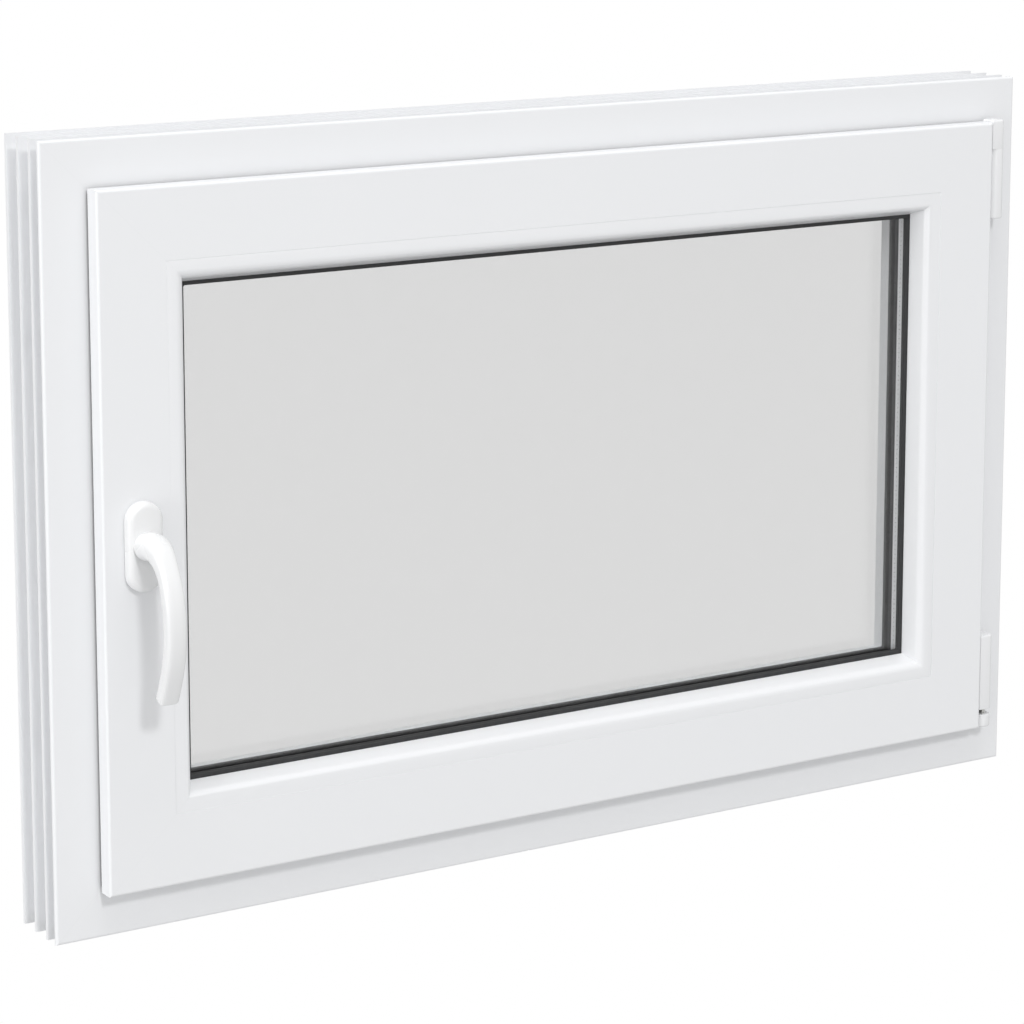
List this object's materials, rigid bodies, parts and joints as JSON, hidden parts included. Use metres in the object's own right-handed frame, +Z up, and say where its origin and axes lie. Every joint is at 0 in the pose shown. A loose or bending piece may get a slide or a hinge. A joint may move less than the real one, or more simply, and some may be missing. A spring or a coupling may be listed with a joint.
{
  "type": "casement window",
  "caption": "White plastic tilt-and-turn casement window with one inward-opening sash, double glazing and a lever handle.",
  "frame": {"origin": "bottom centre of the outer frame, on its room-side face", "axes": "+X along the width towards the hinge side, +Y from the room to the outside, +Z up"},
  "size_m": [0.9, 0.1373, 0.6],
  "materials": {
    "pvc": "smooth semi-gloss white window profile",
    "zinc_steel": "zinc-coated steel tube",
    "hardware": "satin zinc-plated hardware",
    "bright_steel": "turned steel",
    "gasket_rubber": "matte black seal",
    "glass": "clear float glass",
    "spacer": "grey aluminium spacer",
    "block_plastic": "moulded plastic",
    "cap_plastic": "white moulded caps",
    "handle_paint": "white powder-coated die casting"
  },
  "bodies": {
    "frame": {"frame_sill": "pvc", "frame_head": "pvc", "frame_jamb_lock": "pvc", "frame_jamb_hinge": "pvc", "frame_steel_bottom": "zinc_steel", "frame_steel_top": "zinc_steel", "frame_steel_left": "zinc_steel", "frame_steel_right": "zinc_steel", "frame_stop_gasket": "gasket_rubber", "stay_bearing": "hardware", "stay_bearing_pin": "bright_steel", "stay_bearing_cover": "cap_plastic", "corner_bearing": "hardware", "corner_bearing_cover": "cap_plastic", "striker_lock_upper": "hardware", "striker_lock_lower": "hardware", "striker_top": "hardware", "striker_tilt": "hardware"},
    "pivot": {"pivot_shoe": "hardware", "pivot_cross_pin": "bright_steel"},
    "sash": {"sash_rail_bottom": "pvc", "sash_rail_top": "pvc", "sash_stile_lock": "pvc", "sash_stile_hinge": "pvc", "glazing_bead_bottom": "pvc", "glazing_bead_top": "pvc", "glazing_bead_left": "pvc", "glazing_bead_right": "pvc", "sash_steel_bottom": "zinc_steel", "sash_steel_top": "zinc_steel", "sash_steel_left": "zinc_steel", "sash_steel_right": "zinc_steel", "overlap_gasket": "gasket_rubber", "glazing_gasket_outer": "gasket_rubber", "bead_gasket": "gasket_rubber", "glass_inner": "glass", "glass_outer": "glass", "edge_seal": "gasket_rubber", "spacer_frame": "spacer", "glazing_blocks": "block_plastic", "corner_hinge": "hardware", "corner_hinge_cover": "cap_plastic", "stay_guide": "hardware", "faceplate_lock": "hardware", "faceplate_top": "hardware", "faceplate_bottom": "hardware", "corner_drive_bottom": "hardware", "corner_drive_top": "hardware", "gearbox_case": "hardware", "rosette_base": "block_plastic", "rosette_cover": "handle_paint", "rosette_screws": "bright_steel"},
    "stay": {"stay_arm": "hardware", "stay_arm_cover": "cap_plastic"},
    "handle": {"handle_lever": "handle_paint", "spindle": "bright_steel", "gear_pinion": "hardware"},
    "rod_lock": {"drive_rod_lock": "hardware"},
    "rod_top": {"drive_rod_top": "hardware"},
    "rod_bottom": {"drive_rod_bottom": "hardware"}
  },
  "joints": [
    {"name": "sash_turn", "type": "hinge", "parent": "frame", "child": "pivot", "pos_m": [0.4215, -0.011, 0.044], "axis": [0, 0, 1], "range_deg": [0, 95]},
    {"name": "sash_tilt", "type": "hinge", "parent": "pivot", "child": "sash", "pos_m": [0.4215, -0.011, 0.044], "axis": [1, 0, 0], "range_deg": [0, 8]},
    {"name": "stay_swing", "type": "hinge", "parent": "pivot", "child": "stay", "pos_m": [0.4215, -0.011, 0.044], "axis": [0, 0, 1], "range_deg": [0, 16.1]},
    {"name": "handle_turn", "type": "hinge", "parent": "sash", "child": "handle", "pos_m": [-0.383, 0, 0.3], "axis": [0, -1, 0], "range_deg": [0, 180]},
    {"name": "rod_lock_slide", "type": "slide", "parent": "sash", "child": "rod_lock", "axis": [0, 0, -1], "range_m": [0, 0.0221]},
    {"name": "rod_top_slide", "type": "slide", "parent": "sash", "child": "rod_top", "axis": [-1, 0, 0], "range_m": [0, 0.0221]},
    {"name": "rod_bottom_slide", "type": "slide", "parent": "sash", "child": "rod_bottom", "axis": [1, 0, 0], "range_m": [0, 0.0221]}
  ],
  "couplings": [
    {"joint": "stay_swing", "follows": "sash_tilt", "ratio": 2.005},
    {"joint": "rod_lock_slide", "follows": "handle_turn", "m_per_rad": 0.007},
    {"joint": "rod_top_slide", "follows": "handle_turn", "m_per_rad": 0.007},
    {"joint": "rod_bottom_slide", "follows": "handle_turn", "m_per_rad": 0.007}
  ]
}
